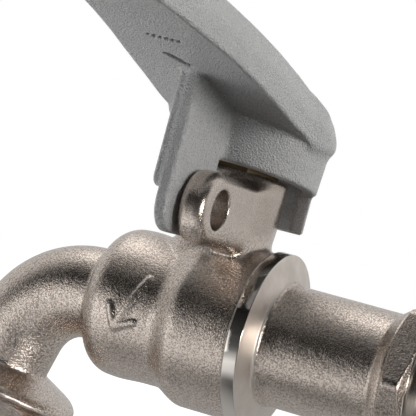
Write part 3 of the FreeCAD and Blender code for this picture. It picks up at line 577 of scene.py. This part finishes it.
def cast_nickel(name, light, dark, grain=1.0):
    """Nickel plate over a blasted casting: fine dark and bright grains, soft waves, and a painted highlight
    that lightens sharp edges.
    """
    n = Nodes(name)
    n.value("Metallic", 1.0)
    fine = n.noise(5200.0, 2.0, 0.6)
    medium = n.noise(2700.0, 2.0, 0.55)
    broad = n.noise(160.0, 2.0, 0.5)
    tint = n.noise(45.0, 3.0, 0.5)
    rough = n.math("ADD", n.range(tint, 0.3, 0.7, 0.15, 0.21), n.range(fine, 0.3, 0.7, -0.03, 0.04))
    rough = n.math("ADD", rough, n.range(n.row_height(), FADE_LOW, FADE_HIGH, 0.0, 0.07))
    deep = tuple(channel * 0.45 for channel in dark)
    coarse = n.range(n.row_height(), FADE_LOW, FADE_HIGH, 1.0, 0.3)
    grit = n.math("ADD", n.math("MULTIPLY", fine, 0.5), n.math("MULTIPLY", medium, 0.5))
    grit = n.math("MULTIPLY", n.math("SUBTRACT", grit, 0.49), coarse)
    colour = n.colours(n.range(grit, -0.10, 0.06, 0.0, 1.0), deep, light)
    colour = n.mix(n.range(tint, 0.35, 0.7, 0.0, 0.4), colour, dark)
    # sharp outer edges are painted lighter: a painted highlight
    colour = n.mix(n.math("MULTIPLY", n.pointiness(0.505, 0.56), 0.35), colour, (0.90, 0.84, 0.78))
    first = n.bump(broad, 0.00014)
    second = n.bump(n.math("MULTIPLY", medium, coarse), 0.00007 * grain, 1.0, first)
    third = n.bump(n.math("MULTIPLY", fine, coarse), 0.00006 * grain, 1.0, second)
    return n.finish(colour, rough, third)


def turned_metal(name, colour_a, colour_b, roughness, depth):
    """Machined metal with fine turning rings about the pipe axis."""
    n = Nodes(name)
    n.value("Metallic", 1.0)
    floor_shadow_rings = n.noise(9000.0, 2.0, 0.6, vector=combine(n, along_axis(n)))
    smear = n.noise(110.0, 2.0, 0.5)
    rough = n.math("ADD", n.range(smear, 0.3, 0.7, roughness * 0.8, roughness * 1.25),
                   n.range(floor_shadow_rings, 0.3, 0.7, -0.2 * roughness, 0.2 * roughness))
    colour = n.colours(n.range(smear, 0.3, 0.7, 0.0, 1.0), colour_a, colour_b)
    return n.finish(colour, rough, n.bump(floor_shadow_rings, depth))


def along_axis(n):
    split = n.tree.nodes.new("ShaderNodeSeparateXYZ")
    n.link(n.place, split.inputs[0])
    return split.outputs[0]


def combine(n, value):
    node = n.tree.nodes.new("ShaderNodeCombineXYZ")
    n.link(value, node.inputs[0])
    return node.outputs[0]


def powder_coat():
    """Grey powder coat: fine orange peel, slight speckle and a painted highlight that lightens sharp edges.
    """
    n = Nodes("grey_powder_coat")
    peel = n.noise(2900.0, 2.0, 0.5)
    wave = n.noise(700.0, 2.0, 0.5)
    speck = n.noise(5200.0, 1.0, 0.5)
    tint = n.noise(40.0, 2.0, 0.5)
    colour = n.colours(n.range(speck, 0.35, 0.65, 0.0, 1.0), (0.28, 0.282, 0.283), (0.45, 0.45, 0.45))
    # sharp outer edges are painted lighter: a painted highlight
    colour = n.mix(n.math("MULTIPLY", n.pointiness(0.52, 0.60), 0.45), colour, (0.62, 0.62, 0.62))
    rough = n.math("ADD", n.range(tint, 0.3, 0.7, 0.27, 0.33), n.range(peel, 0.3, 0.7, -0.06, 0.06))
    n.value("Specular IOR Level", 0.8)
    normal = n.bump(peel, 0.0004, 1.0, n.bump(wave, 0.0001))
    return n.finish(colour, rough, normal)


def plain_finish(name, light, dark, metallic, roughness, grain, depth, specular=0.5):
    """Any other finish: two close colours, a grain and an uneven sheen."""
    n = Nodes(name)
    n.value("Metallic", metallic)
    n.value("Specular IOR Level", specular)
    fine = n.noise(grain, 2.0, 0.5)
    broad = n.noise(grain * 0.06, 2.0, 0.5)
    rough = n.math("ADD", n.range(broad, 0.3, 0.7, roughness * 0.85, roughness * 1.15),
                   n.range(fine, 0.3, 0.7, -0.04, 0.04))
    colour = n.colours(n.range(broad, 0.3, 0.7, 0.0, 1.0), light, dark)
    # sharp outer edges are painted lighter: a painted highlight
    edge_highlight = tuple(min(1.0, channel * 1.3) for channel in light)
    colour = n.mix(n.math("MULTIPLY", n.pointiness(0.52, 0.62), 0.3), colour, edge_highlight)
    return n.finish(colour, rough, n.bump(fine, depth))


NICKEL = cast_nickel("cast_nickel", (0.80, 0.70, 0.62), (0.62, 0.545, 0.485))
NICKEL_SMOOTH = cast_nickel("nut_nickel", (0.76, 0.67, 0.60), (0.60, 0.53, 0.48), 0.7)
POLISHED = turned_metal("polished_band", (0.72, 0.68, 0.63), (0.68, 0.64, 0.60), 0.09, 0.000004)
SATIN = plain_finish("satin_face", (0.78, 0.71, 0.65), (0.68, 0.62, 0.56), 1.0, 0.40, 4600.0, 0.00003)
MACHINED = turned_metal("machined_nickel", (0.70, 0.65, 0.60), (0.64, 0.60, 0.55), 0.2, 0.000008)
GREY = powder_coat()
BRASS = plain_finish("bare_brass", (0.78, 0.58, 0.27), (0.70, 0.50, 0.22), 1.0, 0.25, 3000.0, 0.00001)
# aged brass darkened further as painted shade, so the gland nut stays dark in the gap under the lever
SHADED_AGED_BRASS = plain_finish("aged_brass_with_painted_shade", (0.22, 0.16, 0.085), (0.12, 0.09, 0.055), 1.0, 0.38, 2600.0, 0.00003)
CHROME = plain_finish("ball_chrome", (0.80, 0.80, 0.80), (0.76, 0.76, 0.77), 1.0, 0.08, 900.0, 0.000002)
PTFE = plain_finish("ptfe", (0.84, 0.84, 0.81), (0.78, 0.78, 0.75), 0.0, 0.45, 2500.0, 0.00001)
RUBBER = plain_finish("black_rubber", (0.022, 0.022, 0.023), (0.03, 0.03, 0.031), 0.0, 0.6, 3500.0, 0.00002,
                      0.4)
ZINC = plain_finish("zinc_steel", (0.66, 0.68, 0.71), (0.58, 0.60, 0.64), 1.0, 0.3, 2600.0, 0.00001)
CAP = plain_finish("cap_plastic", (0.045, 0.048, 0.052), (0.035, 0.037, 0.04), 0.0, 0.5, 4200.0, 0.00003)

# ---------------------------------------------------------------- pieces
FINE = 0.33

vertices, quads = surface_nets(casting_field, (-104.0, -32.5, -35.5), (-33.3, 19.0, 31.0), FINE)
ride(make_object("valve_casting", vertices, quads), "valve", NICKEL, ["valve_body"])

vertices, quads = surface_nets(lever_field, (STEM - 18.0, -88.0, 14.0), (STEM + 18.0, 18.0, 62.5), FINE)
ride(make_object("lever_body", vertices, quads), "lever_assembly", GREY, ["lever"])

# inlet adapter: collar, cast tube, hexagon and thread
collar = lathe("adapter_collar", PIPE, [
    (-34.5, 12.0, 0), (-34.5, 17.0, 0.22), (-31.8, 17.0, 0.12), (-30.5, 12.4, 0.2), (-30.1, 12.2, 0),
    (-30.1, 12.0, 0),
], segments=256)
ride(collar, "valve", POLISHED)
collar.data.materials.append(SATIN)
satin_from = -31.78
for face in collar.data.polygons:
    if face.center.x / MM > satin_from:
        face.material_index = 1
tube = lathe("adapter_tube", PIPE, [
    (-38.7, 9.95, 0), (-38.7, 12.95, 0.3), (-30.9, 12.95, 0), (-30.8, 12.25, 0), (-30.25, 12.2, 0.2),
    (-29.7, 11.7, 0.4), (-7.9, 11.7, 0.9), (-7.0, 12.5, 0.6), (-5.7, 13.3, 0.3), (-4.5, 13.2, 0),
    (-4.5, 7.0, 0), (-35.8, 7.0, 0), (-35.8, 9.95, 0),
], segments=192)
ride(tube, "valve", NICKEL, ["inlet_adapter"])
hexagon_ring = hexagon("adapter_hexagon", PIPE, 27.0, -5.8, -0.25, 7.0, ((2.2, 0.48), (2.4, 0.36)),
                       math.radians(33.5), 1.2)
ride(hexagon_ring, "valve", NICKEL)
ride(lathe("adapter_end_ring", PIPE, [
    (-1.2, 8.0, 0), (-1.2, 13.0, 0), (-0.3, 13.0, 0.1), (0.0, 12.5, 0.12), (0.0, 8.0, 0),
], segments=192), "valve", MACHINED)


def threaded(name, place, radius, bore, start, end, segments=128):
    """A tube with a helical outside thread, a smooth run-out at its start and a chamfered end."""
    turn = np.linspace(0.0, 2 * math.pi, segments, endpoint=False)
    along = np.arange(start, end, PITCH / 10.0)
    grid_turn, grid_along = np.meshgrid(turn, along, indexing="ij")
    radii = thread(grid_along, -grid_turn, radius)
    runout = ramp(start + 1.5, start + 2.9, grid_along)
    radii = (radius - THREAD_DEPTH) * (1 - runout) + radii * runout
    radii = np.minimum(radii, radius - 1.15 + (end - grid_along) * 1.0)
    start_face = [(start, bore), (start, radius - THREAD_DEPTH)]
    end_face = [(end, radius - 1.25), (end, bore)]
    first = [np.stack([np.full(segments, value) for value in point], -1) for point in start_face]
    last = [np.stack([np.full(segments, value) for value in point], -1) for point in end_face]
    middle = [np.stack([grid_along[:, i], radii[:, i]], -1) for i in range(1, len(along))]
    rows = np.stack(first + middle + last, 1)
    turns = np.broadcast_to(turn[:, None], rows.shape[:2])
    return sweep(name, frame_points(*place, rows[..., 0], rows[..., 1], turns), 40.0)


inlet = threaded("adapter_thread", PIPE, 10.48, 7.0, -1.0, 15.0)
ride(inlet, "valve", MACHINED)

# union nut: hexagon and round collar over the threaded bore
nut_start = 10.7
nut_chamfer = (1.9, 0.58)
nut_hexagon = hexagon("union_hexagon", OUTLET, 30.0, nut_start, nut_start + 11.0, 13.4,
                      (nut_chamfer, nut_chamfer), math.radians(30.0), 0.5)
ride(nut_hexagon, "union_nut", NICKEL_SMOOTH, ["union_nut"])
nut_collar = lathe("union_collar", OUTLET, [
    (21.5, 13.3, 0), (21.5, 14.6, 0), (25.4, 14.6, 0.4), (26.6, 13.4, 0.4), (26.6, 7.9, 0.3),
    (24.2, 7.9, 0.2), (24.2, 13.3, 0),
], segments=128)
ride(nut_collar, "union_nut", MACHINED)

# hose tail: flange, collar and four barbs
tail = [(21.6, 4.8, 0.2), (21.6, 12.8, 0.2), (24.0, 12.8, 0.2), (24.0, 7.7, 0.1), (27.2, 7.7, 0.3),
        (28.0, 6.6, 0.3)]
barbs = (33.6, 38.6, 43.6, 48.6)
for barb in barbs:
    tail += [(barb, 6.6, 0.1), (barb + 0.3, 7.4, 0.12), (barb + 1.2, 7.4, 0.3)]
    if barb < barbs[-1]:
        tail += [(barb + 4.6, 6.62, 0.1)]
tail += [(53.6, 6.2, 0.3), (53.6, 4.8, 0.3)]
ride(lathe("hose_tail_body", OUTLET, tail, segments=128), "hose_tail", MACHINED, ["hose_tail"])

# moulded cap over the lever screw
ride(lathe("lever_cap_body", UPRIGHT, [
    (39.6, 6.7, 0.1), (39.6, 8.0, 0.2), (44.25, 8.0, 0.5), (44.9, 6.8, 0.5), (45.2, 5.5, 0.4),
    (44.95, 4.9, 0.3), (45.0, 0.02, 0), (43.9, 0.02, 0), (43.9, 6.7, 0.2),
], segments=96), "lever_assembly", CAP, ["lever_cap"])

FINISHES = {
    "body_seal_ring": PTFE, "seat_inlet": PTFE, "seat_outlet": PTFE, "stem_thrust_washer": PTFE,
    # the gland nut's aged brass is darkened as painted shade
    "gland_packing": PTFE, "gland_ring": BRASS, "gland_nut": SHADED_AGED_BRASS, "stem": BRASS, "ball": CHROME,
    "stem_o_ring_lower": RUBBER, "stem_o_ring_upper": RUBBER, "union_gasket": RUBBER,
    "lever_flat_washer": ZINC, "lever_spring_washer": ZINC, "lever_screw": ZINC,
}
for name, material in FINISHES.items():
    slots = nodes[name].data.materials
    if len(slots) == 0:
        slots.append(material)
    for index in range(len(slots)):
        slots[index] = material

# ---------------------------------------------------------------- studio
scene = bpy.context.scene
scene.view_settings.view_transform = "Standard"
scene.view_settings.look = "None"
# direction from the object to the camera, seen from above
FRONT = math.radians(22.3)


class Tree:
    """Maths in a node tree: numbers or sockets in, a socket out."""

    def __init__(self, tree):
        self.tree = tree
        tree.nodes.clear()

    def node(self, kind):
        return self.tree.nodes.new(kind)

    def link(self, source, target):
        self.tree.links.new(source, target)

    def math(self, operation, *values):
        node = self.node("ShaderNodeMath")
        node.operation = operation
        for index, value in enumerate(values):
            if isinstance(value, (int, float)):
                node.inputs[index].default_value = value
            else:
                self.link(value, node.inputs[index])
        return node.outputs[0]

    def smooth(self, source, low, high, to_low=0.0, to_high=1.0):
        node = self.node("ShaderNodeMapRange")
        node.interpolation_type = "SMOOTHSTEP"
        for name, value in (("From Min", low), ("From Max", high), ("To Min", to_low), ("To Max", to_high)):
            node.inputs[name].default_value = value
        self.link(source, node.inputs["Value"])
        return node.outputs["Result"]

    def ramp(self, source, stops):
        node = self.node("ShaderNodeValToRGB")
        elements = node.color_ramp.elements
        while len(elements) > 1:
            elements.remove(elements[-1])
        for index, (position, value) in enumerate(stops):
            element = elements[0] if index == 0 else elements.new(position)
            element.position = position
            element.color = (value, value, value, 1.0)
        self.link(source, node.inputs[0])
        return node.outputs[0]


def studio_world():
    """A white room seen directly; in reflections it is dark in front and light behind and above."""
    world = bpy.data.worlds.new("studio")
    scene.world = world
    world.use_nodes = True
    t = Tree(world.node_tree)
    split = t.node("ShaderNodeSeparateXYZ")
    t.link(t.node("ShaderNodeTexCoord").outputs["Generated"], split.inputs[0])
    x, y, z = split.outputs
    middle = math.radians(18.0)
    front = t.math("ADD", t.math("MULTIPLY", x, math.sin(middle)), t.math("MULTIPLY", y, -math.cos(middle)))
    dark = t.ramp(z, [(0.0, 0.05), (0.26, 0.025), (0.5, 0.01), (0.69, 0.05), (0.84, 0.22), (0.93, 0.42),
                      (1.0, 0.5)])
    light = t.ramp(z, [(0.0, 0.64), (0.4, 0.68), (1.0, 0.62)])
    mix = t.node("ShaderNodeMix")
    mix.data_type = "RGBA"
    t.link(t.smooth(front, -0.12, 0.23), mix.inputs[0])
    t.link(light, mix.inputs[6])
    t.link(dark, mix.inputs[7])
    seen = t.node("ShaderNodeBackground")
    seen.inputs[0].default_value = (1.0, 1.0, 1.0, 1.0)
    reflected = t.node("ShaderNodeBackground")
    t.link(mix.outputs[2], reflected.inputs[0])
    choose = t.node("ShaderNodeMixShader")
    t.link(t.node("ShaderNodeLightPath").outputs["Is Camera Ray"], choose.inputs[0])
    t.link(reflected.outputs[0], choose.inputs[1])
    t.link(seen.outputs[0], choose.inputs[2])
    t.link(choose.outputs[0], t.node("ShaderNodeOutputWorld").inputs[0])


def pale_floor(height):
    """A white floor to the camera; what it gives to reflections and to diffuse light is set apart."""
    size = 3000.0
    corners = [(-size, -size, height), (size, -size, height), (size, size, height), (-size, size, height)]
    floor = make_object("floor", corners, [(0, 1, 2, 3)])
    material = bpy.data.materials.new("pale_floor")
    material.use_nodes = True
    t = Tree(material.node_tree)
    split = t.node("ShaderNodeSeparateXYZ")
    t.link(t.node("ShaderNodeTexCoord").outputs["Object"], split.inputs[0])
    across = t.math("SUBTRACT", split.outputs[0], STEM * MM)
    away = t.math("SQRT", t.math("ADD", t.math("MULTIPLY", across, across),
                                 t.math("MULTIPLY", split.outputs[1], split.outputs[1])))
    # in reflections the floor in front is darker right round the object, a painted shadow of the valve, and
    # lighter in a ring further out
    floor_shadow_rings = [(0.0, 0.22), (0.08, 0.07), (0.11, 0.12), (0.16, 0.60), (0.24, 0.72), (0.31, 0.42), (0.44, 0.14),
             (0.6, 0.07), (1.0, 0.05)]
    tone = t.ramp(t.math("MULTIPLY", away, 2.0), floor_shadow_rings)
    # ahead runs towards the camera, leftward to its left
    ahead = t.math("SUBTRACT", t.math("MULTIPLY", across, math.sin(FRONT)),
                   t.math("MULTIPLY", split.outputs[1], math.cos(FRONT)))
    leftward = t.math("SUBTRACT", t.math("MULTIPLY", across, -math.cos(FRONT)),
                      t.math("MULTIPLY", split.outputs[1], math.sin(FRONT)))
    tone = t.math("MULTIPLY", tone, t.smooth(leftward, -0.12, 0.10, 0.55, 1.5))
    mix = t.node("ShaderNodeMix")
    mix.data_type = "RGBA"
    mix.inputs[6].default_value = (0.43, 0.43, 0.43, 1.0)
    t.link(t.smooth(ahead, -0.02, 0.05), mix.inputs[0])
    t.link(tone, mix.inputs[7])
    dim = t.node("ShaderNodeEmission")
    lit = t.node("ShaderNodeMix")
    lit.data_type = "RGBA"
    t.link(t.node("ShaderNodeLightPath").outputs["Is Diffuse Ray"], lit.inputs[0])
    t.link(mix.outputs[2], lit.inputs[6])
    glow_left = t.smooth(leftward, 0.03, 0.16, 0.0, 4.2)
    glow_ahead = t.smooth(ahead, 0.02, 0.2, 1.0, 0.15)
    t.link(t.math("MULTIPLY", glow_left, glow_ahead), lit.inputs[7])
    t.link(lit.outputs[2], dim.inputs[0])
    plain = t.node("ShaderNodeBsdfDiffuse")
    plain.inputs[0].default_value = (0.9, 0.9, 0.9, 1.0)
    glow = t.node("ShaderNodeEmission")
    glow.inputs[1].default_value = 0.72
    add = t.node("ShaderNodeAddShader")
    t.link(plain.outputs[0], add.inputs[0])
    t.link(glow.outputs[0], add.inputs[1])
    choose = t.node("ShaderNodeMixShader")
    t.link(t.node("ShaderNodeLightPath").outputs["Is Camera Ray"], choose.inputs[0])
    t.link(dim.outputs[0], choose.inputs[1])
    t.link(add.outputs[0], choose.inputs[2])
    t.link(choose.outputs[0], t.node("ShaderNodeOutputMaterial").inputs[0])
    floor.data.materials.append(material)


studio_world()
floor_gap = 12.0
pale_floor(cad_bounds[0][2] / MM - floor_gap)

centre = Vector(((STEM - 4.6) * MM, 0.0, 21.4 * MM))


def softbox(name, azimuth, elevation, distance, width, height, power, colour=(1.0, 1.0, 1.0)):
    """An area light seen from the object at an azimuth and elevation, facing it."""
    a = math.radians(azimuth)
    e = math.radians(elevation)
    direction = Vector((math.sin(a) * math.cos(e), -math.cos(a) * math.cos(e), math.sin(e)))
    data = bpy.data.lights.new(name, "AREA")
    data.shape = "RECTANGLE"
    data.size = width
    data.size_y = height
    data.energy = power
    data.color = colour
    light = bpy.data.objects.new(name, data)
    light.location = centre + direction * distance
    light.rotation_euler = direction.to_track_quat("Z", "Y").to_euler()
    scene.collection.objects.link(light)
    return light


WARM = (1.0, 0.985, 0.97)
right_light = softbox("right_light", 96.0, 19.0, 0.9, 0.8, 0.5, 3.6, WARM)
right_light.visible_glossy = False
side_strip = softbox("side_strip", 78.0, 19.0, 0.9, 0.2, 0.42, 4.4, WARM)
side_strip.visible_glossy = False
low_strip = softbox("low_strip", 70.0, -8.0, 0.9, 0.34, 0.34, 8.0, WARM)
low_strip.visible_diffuse = False
softbox("top_light", -108.0, 68.0, 0.5, 0.25, 0.22, 0.25, (1.0, 0.97, 0.95))
fill_card = softbox("fill_card", -39.5, -18.5, 0.143, 0.09, 0.06, 0.022)
fill_card.visible_camera = False
fill_card.visible_diffuse = False

# ---------------------------------------------------------------- camera
elevation = math.radians(-0.5)
roll = math.radians(15.0)
distance = 0.5
toward = Vector((math.sin(FRONT) * math.cos(elevation), -math.cos(FRONT) * math.cos(elevation),
                 math.sin(elevation)))
right = Vector((math.cos(FRONT), math.sin(FRONT), 0.0))
up = toward.cross(right)
camera_data = bpy.data.cameras.new("camera")
camera_data.sensor_width = 36.0
camera_data.lens = 226.73077
camera_data.clip_start = 0.01
camera_data.clip_end = 20.0
camera = bpy.data.objects.new("camera", camera_data)
columns = Matrix((math.cos(roll) * right + math.sin(roll) * up,
                  -math.sin(roll) * right + math.cos(roll) * up, toward)).transposed()
camera.matrix_world = Matrix.Translation(centre + toward * distance) @ columns.to_4x4()
scene.collection.objects.link(camera)
scene.camera = camera

bpy.context.view_layer.update()
